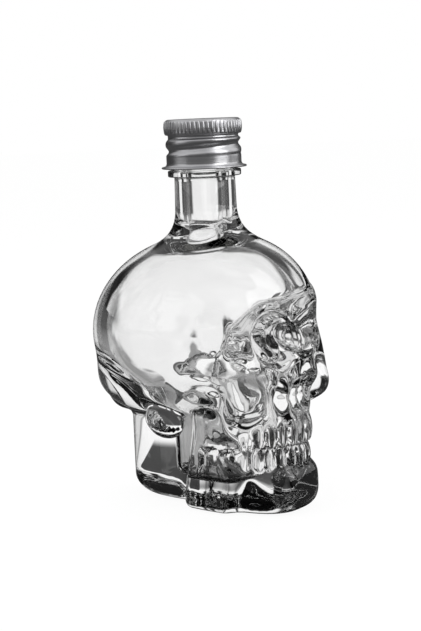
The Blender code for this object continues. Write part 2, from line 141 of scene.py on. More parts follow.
def braincase(p):
    f = egg(p, (-2.9, 0, 41.4), (28.4, 21.2, 21.8), pitch=-8.0)
    f = smooth_min(f, egg(p, (-16.5, 0, 29.0), (13.8, 14.0, 8.0)), 5.0)
    f = smooth_min(f, egg(p, (-23.2, 0, 23.8), (4.8, 7.4, 4.0)), 2.5)
    f = smooth_min(f, egg(p, (8.0, 0, 44.6), (17.2, 16.8, 17.6)), 5.0)
    temple = egg(p, (15.4, 22.6, 39.2), (7.6, 8.2, 11.0), yaw=-8.0)
    return cut(f, temple, 2.0)


def brow(p):
    ridge = bone(p, (22.6, 3.4, 46.2), (18.0, 12.0, 48.2), 2.8, 1.8)
    outer_rim = bone(p, (17.2, 13.2, 47.6), (18.2, 13.8, 37.0), 1.6, 2.0)
    return smooth_min(ridge, outer_rim, 4.0)


def cheek(p):
    body = bone(p, (17.4, 12.6, 37.0), (18.2, 13.2, 28.6), 3.6, 5.2)
    body = smooth_max(body, (p[:, 0] * 0.78 + p[:, 1] * 0.57 + p[:, 2] * 0.26) - 35.0, 3.0)
    body = smooth_max(body, 23.2 - p[:, 2], 2.5)
    buttress = bone(p, (17.2, 11.6, 27.6), (12.4, 8.2, 19.6), 3.6, 3.0)
    bar = bone(p, (16.4, 15.0, 33.4), (5.0, 17.0, 34.0), 3.4, 2.2)
    return smooth_min(bar, smooth_min(body, buttress, 4.0), 4.0)


def nose(p):
    bridge = bone(p, (22.6, 0, 46.0), (27.0, 0, 33.0), 2.8, 1.5)
    side = bone(p, (22.4, 2.6, 40.0), (23.2, 5.4, 31.0), 2.4, 2.2)
    return smooth_min(bridge, side, 3.0)


def upper_jaw(p):
    body = egg(p, (14.0, 0, 26.0), (11.0, 11.0, 11.0))
    return smooth_min(body, arch(p, 11.5, 12.8, 9.6, 15.4, 27.0, 1.5), 2.0)


def lower_jaw(p):
    body = arch(p, 9.3, 15.2, 10.4, -3.0, 8.4, 4.0, squareness=2.6)
    ledge = arch(p, 10.6, 12.8, 9.2, 4.0, 14.4, 1.5)
    body = smooth_min(body, ledge, 3.0)
    chin = block(p, (20.4, 0, 6.4), (4.6, 7.2, 5.0), 3.4)
    body = smooth_min(body, chin, 3.0)
    branch = block(p, (6.6, 9.6, 11.0), (6.6, 3.0, 13.0), 2.6, pitch=8.0)
    slope = (p[:, 0] - 13.6) * 0.86 + (p[:, 2] - 17.0) * 0.5
    return smooth_min(body, smooth_max(branch, slope, 3.0), 4.0)


def teeth(p, height, half_height, centre_x, half_x, half_y, radius):
    """One side's seven teeth, evenly spaced round a dental arch."""
    count, spread, far_off = 7, 92.0, 1e3
    f = np.full(len(p), far_off)
    for i in range(count):
        a = math.radians((i + 0.5) * spread / count)
        yaw = math.degrees(math.atan2(math.sin(a) / half_y, math.cos(a) / half_x))
        centre = (centre_x + half_x * math.cos(a), half_y * math.sin(a), height)
        f = np.minimum(f, egg(p, centre, (radius * 0.9, radius, half_height), yaw=yaw))
    return f


def skull(p):
    """Outside of the skull, in the millimetres of the forms. The two sides mirror each other."""
    p = np.stack((p[:, 0], np.abs(p[:, 1]), p[:, 2]), 1)
    f = smooth_min(braincase(p), brow(p), 3.0)
    f = smooth_min(f, smooth_min(upper_jaw(p), nose(p), 3.0), 4.0)
    f = smooth_min(f, cheek(p), 3.0)
    mastoid = egg(p, (-5.6, 12.2, 20.6), (5.0, 4.0, 3.6), pitch=28.0)
    f = smooth_min(f, mastoid, 1.5)
    f = smooth_min(f, lower_jaw(p), 1.0)
    rear_column = arch(p, -12.4, 10.2, 9.0, -6.5, 29.1, 4.0)
    rear_column = smooth_min(rear_column, block(p, (-2.0, 0, 11.3), (9.0, 7.8, 17.8), 4.0), 2.0)
    raised_heel = -(p[:, 0] + 8.5) * 0.25 - p[:, 2] * 0.97
    rear_column = smooth_max(rear_column, raised_heel, 2.0)
    f = smooth_min(f, rear_column, 1.6)
    behind_teeth = arch(p, 9.0, 13.4, 8.3, 5.0, 25.0, 2.0)
    f = smooth_min(f, behind_teeth, 2.0)
    orbit = egg(p, (23.6, 8.2, 40.8), (9.0, 5.4, 6.8), yaw=28.0, roll=30.0)
    f = cut(f, orbit, 1.4)
    nostril = egg(p, (26.4, 1.9, 26.6), (4.6, 2.5, 4.8))
    f = cut(f, nostril, 0.8)
    cheek_hollow = egg(p, (24.0, 8.6, 26.8), (4.2, 2.6, 4.4), yaw=20.0)
    f = cut(f, cheek_hollow, 1.8)
    under_bar = egg(p, (9.6, 15.6, 27.2), (5.6, 4.4, 3.6))
    f = cut(f, under_bar, 1.2)
    jaw_hollow = egg(p, (13.6, 12.4, 12.6), (3.8, 2.2, 2.6), pitch=30.0)
    f = cut(f, jaw_hollow, 0.8)
    f = smooth_min(f, teeth(p, 18.8, 3.2, 11.5, 13.0, 9.8, 1.35), 0.6)
    return smooth_min(f, teeth(p, 12.8, 2.6, 10.6, 13.4, 9.6, 1.25), 0.6)


def hollow(p, wall):
    """Inside of the skull before its least wall is kept, in the millimetres of the forms."""
    f = egg(p, (-2.9, 0, 42.0), (28.4 - wall, 21.2 - wall, 22.4 - wall), pitch=-9.0)
    f = smooth_min(f, egg(p, (8.0, 0, 44.6), (17.2 - wall, 16.8 - wall, 17.6 - wall)), 5.0)
    behind_orbits = egg(p, (25.4, 0, 39.5), (13.0, 20.0, 8.5))
    f = cut(f, behind_orbits, 3.0)
    throat = arch(p, 3.2, 12.2, 8.4, 4.6, 36.6, 5.0, squareness=2.4)
    return smooth_min(f, throat, 6.0)


def neck_radius(height, sizes):
    """The neck widens a little on its way down from the collar."""
    return sizes.neck_radius + sizes.neck_taper * np.maximum(sizes.collar_height - height, 0.0)


def outer_glass(p, sizes):
    """Outside of the moulded glass with its neck and foot, in metres."""
    height = p[:, 2]
    neck = np.hypot(p[:, 0], p[:, 1]) - neck_radius(height, sizes)
    neck = np.maximum(neck, sizes.crown_height - NECK_ROOT - height)
    skull_and_neck = smooth_min(skull(p / MM) * MM, neck, sizes.shoulder_fillet)
    return smooth_max(skull_and_neck, -height, sizes.foot_fillet)


def glass(p, sizes):
    """The moulded glass up to the neck, in metres: negative inside the glass."""
    height = p[:, 2]
    outside = outer_glass(p, sizes)
    bore = np.hypot(p[:, 0], p[:, 1]) - sizes.bore_radius
    bore = np.maximum(bore, sizes.crown_height - BORE_ROOT - height)
    inside = smooth_min(hollow(p / MM, sizes.wall / MM) * MM, bore, sizes.throat_fillet)
    inside = smooth_max(inside, sizes.jaw_floor - height, sizes.foot_fillet)
    inside = smooth_max(inside, outside + sizes.least_wall, sizes.least_wall)
    return np.maximum(outside, -inside)


# Meshes

def sampled(form, axes, step):
    """Values of a form on a grid. Points well off the surface keep the value of a coarse neighbour."""
    stride = 3
    reach = 1.6 * stride * step
    batch = 100000
    size = [len(axis) for axis in axes]
    coarse_axes = [axis[::stride] for axis in axes]
    grid = np.stack([g.ravel() for g in np.meshgrid(*coarse_axes, indexing="ij")], 1)
    coarse = form(grid).reshape([len(axis) for axis in coarse_axes])
    nearest = [np.minimum((np.arange(n) + 1) // stride, len(axis) - 1) for n, axis in zip(size, coarse_axes)]
    value = coarse[np.ix_(*nearest)]
    near = np.argwhere(np.abs(value) < reach)
    for start in range(0, len(near), batch):
        part = near[start:start + batch]
        points = np.stack([axes[k][part[:, k]] for k in range(3)], 1)
        value[tuple(part.T)] = form(points)
    return value


def parted(value):
    """Fill the grid points through which two sheets of the surface would share an edge of the net."""
    barely_inside = -1e-9
    touching = True
    while touching:
        touching = False
        for axis in range(3):
            grid = np.moveaxis(value, axis, 2)
            a, b, c, d = grid[:-1, :-1], grid[1:, :-1], grid[:-1, 1:], grid[1:, 1:]
            for p, q, r, s in ((a, d, b, c), (b, c, a, d)):
                crossed = (p < 0.0) & (q < 0.0) & (r >= 0.0) & (s >= 0.0)
                r_nearer = crossed & (r <= s)
                r[r_nearer] = barely_inside
                s[crossed & ~r_nearer] = barely_inside
                touching = touching or crossed.any()
    return value


def surface_net(form, low, high, step):
    """Quads over the surface where form is zero, with one point for each grid cell that it crosses."""
    settlings = 3
    size = [int(math.ceil((h - l) / step)) + 1 for l, h in zip(low, high)]
    axes = [low[i] + step * np.arange(size[i]) for i in range(3)]
    value = parted(sampled(form, axes, step))
    cells = [s - 1 for s in size]
    total = np.zeros(cells + [3])
    count = np.zeros(cells)
    for axis in range(3):
        for side in range(4):
            start = np.zeros(3, int)
            start[(axis + 1) % 3] = side % 2
            start[(axis + 2) % 3] = side // 2
            end = start.copy()
            end[axis] += 1
            a = value[tuple(slice(s, s + c) for s, c in zip(start, cells))]
            b = value[tuple(slice(s, s + c) for s, c in zip(end, cells))]
            crossed = (a < 0.0) != (b < 0.0)
            along = np.where(crossed, a / np.where(crossed, a - b, 1.0), 0.0)
            for k in range(3):
                total[..., k] += np.where(crossed, start[k] + (along if k == axis else 0.0), 0.0)
            count += crossed
    used = count > 0
    index = np.full(used.shape, -1)
    index[used] = np.arange(used.sum())
    points = np.array(low) + step * (np.argwhere(used) + total[used] / count[used][:, None])
    inside = value < 0.0
    faces = []
    for axis in range(3):
        near = inside.take(range(size[axis] - 1), axis)
        far = inside.take(range(1, size[axis]), axis)
        at = np.argwhere(near != far)
        leaving = near[tuple(at.T)]
        u, v = np.zeros(3, int), np.zeros(3, int)
        u[(axis + 1) % 3] = 1
        v[(axis + 2) % 3] = 1
        quad = np.stack([index[tuple((at - step_back).T)] for step_back in (0 * u, u, u + v, v)], 1)
        quad[~leaving] = quad[~leaving][:, ::-1]
        faces.append(quad)
    for _ in range(settlings):
        points = settled(form, points, step)
    return points, np.concatenate(faces)


def settled(form, points, step):
    """Net points moved on to the surface along the slope of the form."""
    h = step * 0.05
    longest = 0.4 * step
    flattest = 0.05
    value = form(points)
    slope = np.stack([(form(points + h * d) - form(points - h * d)) / (2.0 * h) for d in np.eye(3)], 1)
    move = (value / np.maximum((slope ** 2).sum(1), flattest))[:, None] * slope
    moved = np.sqrt((move ** 2).sum(1))
    return points - move * np.minimum(1.0, longest / np.maximum(moved, 1e-12))[:, None]


def drop_bubbles(bm):
    """Keep only the largest surface, without the specks that a blend can leave inside thin glass."""
    left = set(bm.verts)
    surfaces = []
    while left:
        found = {left.pop()}
        border = list(found)
        while border:
            v = border.pop()
            near = {e.other_vert(v) for e in v.link_edges} - found
            found |= near
            border += near
        left -= found
        surfaces.append(found)
    surfaces.sort(key=len)
    bmesh.ops.delete(bm, geom=[v for surface in surfaces[:-1] for v in surface], context='VERTS')


def open_loops(bm):
    """The open edge loops as lists of vertices, widest first."""
    edges = {e for e in bm.edges if e.is_boundary}
    loops = []
    while edges:
        edge = edges.pop()
        loop = [edge.verts[0], edge.verts[1]]
        while True:
            following = [e for e in loop[-1].link_edges if e in edges]
            if not following:
                break
            edges.discard(following[0])
            loop.append(following[0].other_vert(loop[-1]))
        if loop[0] is loop[-1]:
            loop.pop()
        loops.append(loop)
    return sorted(loops, key=lambda loop: -max(math.hypot(v.co.x, v.co.y) for v in loop))


def zip_loops(bm, lower, upper, outward):
    """Fill between two loops round the Z axis, a triangle at a time, in the order of their angles."""
    def turn(v):
        return math.atan2(v.co.y, v.co.x) % math.tau

    def ahead(loop, i):
        return turn(loop[(i + 1) % len(loop)]) + (math.tau if i + 1 >= len(loop) else 0.0)

    lower = sorted(lower, key=turn)
    upper = sorted(upper, key=turn)
    i = j = 0
    while i < len(lower) or j < len(upper):
        face = [lower[i % len(lower)], upper[j % len(upper)]]
        if j >= len(upper) or (i < len(lower) and ahead(lower, i) <= ahead(upper, j)):
            i += 1
            face.insert(1, lower[i % len(lower)])
        else:
            j += 1
            face.insert(1, upper[j % len(upper)])
        bm.faces.new(face if outward else face[::-1])


def round_corner(centre_r, centre_z, radius, start, end, steps):
    """Points of an arc in an outline, from start to end in degrees."""
    points = []
    for i in range(steps + 1):
        a = math.radians(start + (end - start) * i / steps)
        points.append((centre_r + radius * math.cos(a), centre_z + radius * math.sin(a)))
    return points


def turned_shell(bm, outline, sides, relief=None):
    """Turn an outline of (radius, height) about Z, the material on its left.

    Relief(turn, height, radius) adds to the radius.
    """
    rings = []
    for radius, height in outline:
        if radius == 0.0:
            rings.append([bm.verts.new((0.0, 0.0, height))])
            continue
        ring = []
        for i in range(sides):
            a = math.tau * i / sides
            r = radius + (relief(a, height, radius) if relief else 0.0)
            ring.append(bm.verts.new((r * math.cos(a), r * math.sin(a), height)))
        rings.append(ring)
    for first, second in zip(rings, rings[1:]):
        for i in range(sides):
            j = (i + 1) % sides
            corners = [first[i % len(first)], first[j % len(first)],
                       second[j % len(second)], second[i % len(second)]]
            bm.faces.new(list(dict.fromkeys(corners)))
    return rings


def wave(turn, height, sizes):
    """Cosine of the place across a right-hand thread: 1 on its crest and -1 in its root."""
    return math.cos(math.tau * ((height - sizes.thread_crest) / sizes.thread_pitch - turn / math.tau))


def ease(x):
    """A smooth step: 0 below 0, 1 above 1."""
    x = min(max(x, 0.0), 1.0)
    return x * x * (3.0 - 2.0 * x)


def rows(start, end, count):
    """Evenly spaced values after start, up to end."""
    return [start + (end - start) * (i + 1) / count for i in range(count)]


def add_piece(name, bm, look, body, stands_for=None, sharp=40.0):
    """Make a finished piece of the mesh, attach it to the body it rides on, and hide the imported part it
    stands for.
    """
    mesh = bpy.data.meshes.new(name)
    bm.to_mesh(mesh)
    bm.free()
    mesh.shade_smooth()
    mesh.set_sharp_from_angle(angle=math.radians(sharp))
    mesh.materials.append(look)
    piece = bpy.data.objects.new(name, mesh)
    bpy.context.collection.objects.link(piece)
    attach(piece, body)
    if stands_for:
        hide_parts(stands_for)
    return piece


# Materials

def linear(hex_colour):
    """An sRGB hex colour as the linear colour that a socket takes."""
    channels = [int(hex_colour[i:i + 2], 16) / 255.0 for i in (0, 2, 4)]
    return [c / 12.92 if c <= 0.04045 else ((c + 0.055) / 1.055) ** 2.4 for c in channels] + [1.0]


def feed(tree, node, inputs):
    """Give a node its inputs by name or number: a value, a socket, or a node for its first output."""
    for key, value in inputs.items():
        if isinstance(value, bpy.types.Node):
            value = value.outputs[0]
        if isinstance(value, bpy.types.NodeSocket):
            tree.links.new(value, node.inputs[key])
        else:
            node.inputs[key].default_value = value


def add_node(tree, kind, inputs=(), **settings):
    """Add a node with its settings and its inputs."""
    node = tree.nodes.new(kind)
    for name, value in settings.items():
        setattr(node, name, value)
    feed(tree, node, dict(inputs))
    return node


def new_material(name):
    """A material with its tree, its empty Principled shader and its Object coordinates."""
    made = bpy.data.materials.new(name)
    made.use_nodes = True
    tree = made.node_tree
    tree.nodes.clear()
    shader = add_node(tree, "ShaderNodeBsdfPrincipled")
    add_node(tree, "ShaderNodeOutputMaterial", {"Surface": shader})
    place = add_node(tree, "ShaderNodeTexCoord")
    return made, tree, shader, place.outputs["Object"]


def fire_polished_flint_glass(colours):
    """Clear flint glass, blown in a mould and fire polished: bright, colourless and slightly wavy.

    The mould leaves swells about 9 mm wide, which make its highlights wander, and no grain.
    """
    made, tree, shader, place = new_material("fire_polished_flint_glass")
    swells_in_metre, spots_in_metre = 110.0, 420.0
    swell = add_node(tree, "ShaderNodeTexNoise", {"Vector": place, "Scale": swells_in_metre, "Detail": 1.0,
                                                  "Roughness": 0.4})
    polish = add_node(tree, "ShaderNodeTexNoise", {"Vector": place, "Scale": spots_in_metre, "Detail": 2.0})
    rough = add_node(tree, "ShaderNodeMapRange", {"Value": polish, "To Min": 0.0, "To Max": 0.012})
    bump = add_node(tree, "ShaderNodeBump", {"Height": swell, "Strength": 0.25, "Distance": 0.2 * MM})
    feed(tree, shader, {"Base Color": linear(colours.glass), "IOR": 1.52, "Transmission Weight": 1.0,
                        "Roughness": rough, "Normal": bump})
    return made


def rolled_aluminium(colours):
    """Plain aluminium, drawn and rolled on to the thread by spinning wheels: satin silver.

    It has fine lines round the cap about 0.2 mm apart, drawn coarser than real so that they show.
    """
    made, tree, shader, place = new_material("rolled_aluminium")
    lines_in_metre, waves_in_metre, clouds_in_metre = 5000.0, 60.0, 350.0
    across = add_node(tree, "ShaderNodeMapping", {
        "Vector": place, "Scale": (waves_in_metre, waves_in_metre, lines_in_metre)})
    lines = add_node(tree, "ShaderNodeTexNoise", {"Vector": across, "Scale": 1.0, "Detail": 3.0})
    cloud = add_node(tree, "ShaderNodeTexNoise", {"Vector": place, "Scale": clouds_in_metre, "Detail": 3.0})
    tone = add_node(tree, "ShaderNodeMix", {"A": linear(colours.aluminium), "Factor": cloud,
                                            "B": linear(colours.aluminium_dark)}, data_type='RGBA')
    rough = add_node(tree, "ShaderNodeMapRange", {"Value": lines, "To Min": 0.22, "To Max": 0.38})
    bump = add_node(tree, "ShaderNodeBump", {"Height": lines, "Strength": 0.35, "Distance": 0.04 * MM})
    feed(tree, shader, {"Base Color": tone.outputs["Result"], "Metallic": 1.0, "Roughness": rough,
                        "Normal": bump})
    return made


def foamed_polyethylene(colours):
    """Foamed polyethylene, skived and punched: a matt off-white disc with pores about 0.3 mm across, painted
    darker as shade in their hollows.
    """
    made, tree, shader, place = new_material("foamed_polyethylene")
    pores_in_metre = 3300.0
    pores = add_node(tree, "ShaderNodeTexVoronoi", {"Vector": place, "Scale": pores_in_metre})
    # The pores are painted darker: painted shade in their hollows
    tone = add_node(tree, "ShaderNodeMix", {"A": linear(colours.liner_dark), "B": linear(colours.liner),
                                            "Factor": pores}, data_type='RGBA')
    rough = add_node(tree, "ShaderNodeMapRange", {"Value": pores, "To Min": 0.6, "To Max": 0.85})
    bump = add_node(tree, "ShaderNodeBump", {"Height": pores, "Strength": 0.5, "Distance": 0.1 * MM})
    feed(tree, shader, {"Base Color": tone.outputs["Result"], "Roughness": rough, "Normal": bump})
    return made


def material_once(maker, colours):
    """The material of that name if it is made, or else a new one."""
    return bpy.data.materials.get(maker.__name__) or maker(colours)


# Sizes and colours that a user would change

def length(name, text, value):
    return bpy.props.FloatProperty(name=name, description=text, default=value, unit='LENGTH', precision=5)


class SkullBottleSizes(bpy.types.PropertyGroup):
    crown_height: length("Crown height", "Foot to crown", 63.6 * MM)
    wall: length("Wall", "Glass round the braincase", 3.6 * MM)
    least_wall: length("Least wall", "Glass behind the deepest recess", 1.5 * MM)
    jaw_floor: length("Jaw floor", "Glass under the cavity in the jaw", 6.0 * MM)
    foot_fillet: length("Foot fillet", "Rounding between the foot and the sides", 2.5 * MM)
    shoulder_fillet: length("Shoulder fillet", "Rounding between the crown and the neck", 6.5 * MM)
    throat_fillet: length("Throat fillet", "Rounding between the bore and the hollow", 2.5 * MM)
    neck_radius: length("Neck radius", "Radius of the neck under the collar", 7.0 * MM)
    neck_taper: bpy.props.FloatProperty(name="Neck taper", description="Growth of the radius down the neck",
                                        default=0.02)
    bore_radius: length("Bore radius", "Radius of the bore", 4.1 * MM)
    collar_radius: length("Collar radius", "Radius of the collar under the cap", 8.5 * MM)
    collar_width: length("Collar width", "Height of the collar", 1.5 * MM)
    collar_height: length("Collar height", "Foot to the top of the collar", GLASS_HIGH.z - 9.7 * MM)
    finish_radius: length("Finish radius", "Radius of the glass under the cap", 7.8 * MM)
    thread_pitch: length("Thread pitch", "Climb of the cap in a turn", 3.175 * MM)
    thread_crest: length("Thread crest", "Foot to a crest of the thread, at the face", CAP_HIGH.z - 4.5 * MM)
    thread_low: length("Thread low", "Foot to the run-out of the thread", CAP_HIGH.z - 8.9 * MM)
    thread_high: length("Thread high", "Foot to the start of the thread", CAP_HIGH.z - 3.9 * MM)
    thread_height: length("Thread height", "How far the glass thread stands out", 0.45 * MM)
    skirt_radius: length("Skirt radius", "Outside of the cap's plain skirt", 8.7 * MM)
    band_radius: length("Band radius", "Outside of the knurled band", 9.1 * MM)
    band_height: length("Band height", "Height of the knurled band", 3.6 * MM)
    rim_radius: length("Rim radius", "Outside of the cap's flared edge", CAP_HIGH.x)
    cap_wall: length("Cap wall", "Thickness of the aluminium, with its rolled edge", 0.25 * MM)
    knurl_count: bpy.props.IntProperty(name="Knurls", description="Ribs round the cap", default=54, min=12)
    net_step: length("Net step", "Fineness of the moulded glass", 0.56 * MM)


def colour(name, text, value):
    return bpy.props.StringProperty(name=name, description=text + ", as sRGB hex", default=value)


class SkullBottleColours(bpy.types.PropertyGroup):
    glass: colour("Glass", "Tint of the glass", "fcfcfc")
    aluminium: colour("Aluminium", "The cap", "d2d2d4")
    aluminium_dark: colour("Aluminium, dull", "The duller places of the cap", "bcbcbf")
    liner: colour("Liner", "The liner's foam", "e9e8e2")
    # Colour of the painted shade in the liner's pores
    liner_dark: colour("Liner pores", "The pores of the liner's foam", "cfcec7")
    paper: colour("Paper", "The floor", "f6f6f6")


# Pieces

class SKULLBOTTLE_OT_glass(bpy.types.Operator):
    """Make the moulded glass: skull, neck, collar and threaded finish in one piece"""
    bl_idname = "skullbottle.glass"
    bl_label = "Glass"

    def execute(self, context):
        sizes = context.scene.skull_bottle_sizes
        step = sizes.net_step
        margin = 2.5 * step
        half_width = 23.0 * MM
        overlap = 0.5 * MM
        level_foot = 0.02 * MM
        finish_sides = 144
        join = sizes.crown_height + sizes.shoulder_fillet + 1.0 * MM

        def capped_glass(p):
            return np.maximum(glass(p, sizes), p[:, 2] - join - step)

        across = math.ceil(half_width / step) * step
        low = (GLASS_LOW.x - margin, -across, -margin)
        high = (GLASS_HIGH.x + margin, across, join + 3.0 * step)
        points, faces = surface_net(capped_glass, low, high, step)
        points[np.abs(points[:, 2]) < level_foot, 2] = 0.0
        points[:, 0] = np.maximum(points[:, 0], GLASS_LOW.x)
        mesh = bpy.data.meshes.new("net")
        mesh.from_pydata(points.tolist(), [], faces.tolist())
        bm = bmesh.new()
        bm.from_mesh(mesh)
        bpy.data.meshes.remove(mesh)
        drop_bubbles(bm)
        everything = bm.verts[:] + bm.edges[:] + bm.faces[:]
        bmesh.ops.bisect_plane(bm, geom=everything, plane_co=(0, 0, join - overlap), plane_no=(0, 0, 1),
                               clear_outer=True)
        outer_loop, inner_loop = open_loops(bm)
        rings = turned_shell(bm, self.finish_outline(sizes, join), finish_sides, self.thread_relief(sizes))
        zip_loops(bm, outer_loop, rings[0], outward=True)
        zip_loops(bm, inner_loop, rings[-1], outward=False)
        bmesh.ops.triangulate(bm, faces=[f for f in bm.faces if len(f.verts) > 4])
        look = material_once(fire_polished_flint_glass, context.scene.skull_bottle_colours)
        add_piece("skull_glass", bm, look, "bottle", "glass_bottle")
        return {'FINISHED'}

    def finish_outline(self, sizes, join):
        """Up the outside of the neck, over the collar, thread and lip, and down the bore."""
        lip = GLASS_HIGH.z
        corner = 0.3 * MM
        fillet = 0.4 * MM
        rounding = 0.8 * MM
        bead_top = sizes.collar_height
        bead_low = bead_top - sizes.collar_width
        finish = sizes.finish_radius
        root = finish - THREAD_ROOT
        outline = [(neck_radius(z, sizes), z) for z in [join] + rows(join, bead_low - fillet, 6)]
        outline += round_corner(neck_radius(bead_low, sizes) + fillet, bead_low - fillet, fillet,
                                180, 90, 3)[1:]
        outline += round_corner(sizes.collar_radius - corner, bead_low + corner, corner, -90, 0, 4)
        outline += round_corner(sizes.collar_radius - corner, bead_top - corner, corner, 0, 90, 4)
        outline += round_corner(root + corner, bead_top + corner, corner, -90, -180, 3)
        outline += [(root, z) for z in rows(bead_top + corner, lip - 2.0 * rounding, 36)]
        outline += [(finish, lip - 1.5 * rounding), (finish, lip - rounding)]
        outline += round_corner(finish - rounding, lip - rounding, rounding, 0, 90, 6)[1:]
        outline += round_corner(sizes.bore_radius + rounding, lip - rounding, rounding, 90, 180, 6)
        outline += [(sizes.bore_radius, z) for z in rows(lip - rounding, join, 16)]
        return outline

    def thread_relief(self, sizes):
        """The glass thread, run out at both ends."""
        on_root = 0.05 * MM

        def relief(turn, height, radius):
            if abs(radius - sizes.finish_radius + THREAD_ROOT) > on_root:
                return 0.0
            ends = ease((height - sizes.thread_low) / MM) * ease((sizes.thread_high - height) / MM)
            crest = ease(0.5 + 0.9 * wave(turn, height, sizes))
            return sizes.thread_height * ends * crest

        return relief


class SKULLBOTTLE_OT_cap(bpy.types.Operator):
    """Make the rolled aluminium cap, with the thread that its wheels press in"""
    bl_idname = "skullbottle.cap"
    bl_label = "Cap"

    def execute(self, context):
        sizes = context.scene.skull_bottle_sizes
        top = CAP_HIGH.z
        foot = CAP_LOW.z
        wall = sizes.cap_wall
        band = sizes.band_radius - BAND_INSET
        band_low = top - sizes.band_height
        skirt = sizes.skirt_radius
        skirt_low = foot + 1.15 * MM
        groove = skirt - GROOVE_DEPTH
        rounding = 0.9 * MM
        thread_top = band_low - 0.5 * MM
        rim = sizes.rim_radius
        # Points of the profile as radius and height: from the flared edge up to the middle of the top
        outside = [(rim - 0.2 * MM, foot), (rim - 0.05 * MM, foot + 0.08 * MM), (rim, foot + 0.22 * MM)]
        outside += [(rim - 0.06 * MM, foot + 0.36 * MM), (rim - 0.25 * MM, foot + 0.45 * MM)]
        outside += [(skirt + 0.45 * MM, foot + 0.55 * MM), (skirt + 0.12 * MM, foot + 0.8 * MM)]
        outside += [(skirt, z) for z in [skirt_low] + rows(skirt_low, thread_top, 44)]
        outside += [(groove, band_low - 0.25 * MM), (groove + 0.08 * MM, band_low - 0.05 * MM)]
        outside += [(band - 0.25 * MM, band_low), (band - 0.06 * MM, band_low + 0.1 * MM)]
        band_start = band_low + 0.3 * MM
        outside += [(band, z) for z in [band_start] + rows(band_start, top - rounding, 6)]
        outside += round_corner(band - rounding, top - rounding, rounding, 0, 90, 7)[1:]
        outside += [(band * share, top) for share in (0.7, 0.35, 0.0)]
        # From the middle of the top, down the inside
        inside_top = top - 2.0 * wall
        inside = [(0.0, inside_top), (band * 0.5, inside_top), (band - 1.2 * MM, inside_top)]
        inside += [(band - wall - 0.2 * MM, inside_top - 0.35 * MM), (band - wall, inside_top - 0.7 * MM)]
        inside += [(band - wall, band_start), (groove - wall + 0.05 * MM, band_low - 0.1 * MM)]
        inside += [(skirt - wall, z) for z in rows(band_low - 0.3 * MM, skirt_low, 44)]
        inside += [(skirt - wall + 0.2 * MM, foot + 0.6 * MM), (rim - 0.7 * MM, foot + 0.2 * MM)]
        bm = bmesh.new()
        turned_shell(bm, inside + outside, 4 * sizes.knurl_count, self.rolled_thread(sizes, thread_top))
        look = material_once(rolled_aluminium, context.scene.skull_bottle_colours)
        add_piece("rolled_cap", bm, look, "cap", "cap_shell", sharp=50.0)
        return {'FINISHED'}

    def rolled_thread(self, sizes, thread_top):
        """Both skins of the skirt follow the glass thread, deepest between its turns."""
        skirts = (sizes.skirt_radius, sizes.skirt_radius - sizes.cap_wall)
        crest, depth, sharpness = 0.06 * MM, 0.68 * MM, 1.5
        on_skirt = 1e-4 * MM

        def relief(turn, height, radius):
            if min(abs(radius - skirt) for skirt in skirts) > on_skirt:
                return 0.0
            started = ease((height - sizes.thread_low - 0.3 * MM) / (0.9 * MM))
            under_band = ease((height - thread_top + 0.7 * MM) / (0.7 * MM))
            turns = crest - depth * (0.5 - 0.5 * wave(turn, height, sizes)) ** sharpness
            return started * (turns * (1.0 - under_band) - GROOVE_DEPTH * under_band)

        return relief


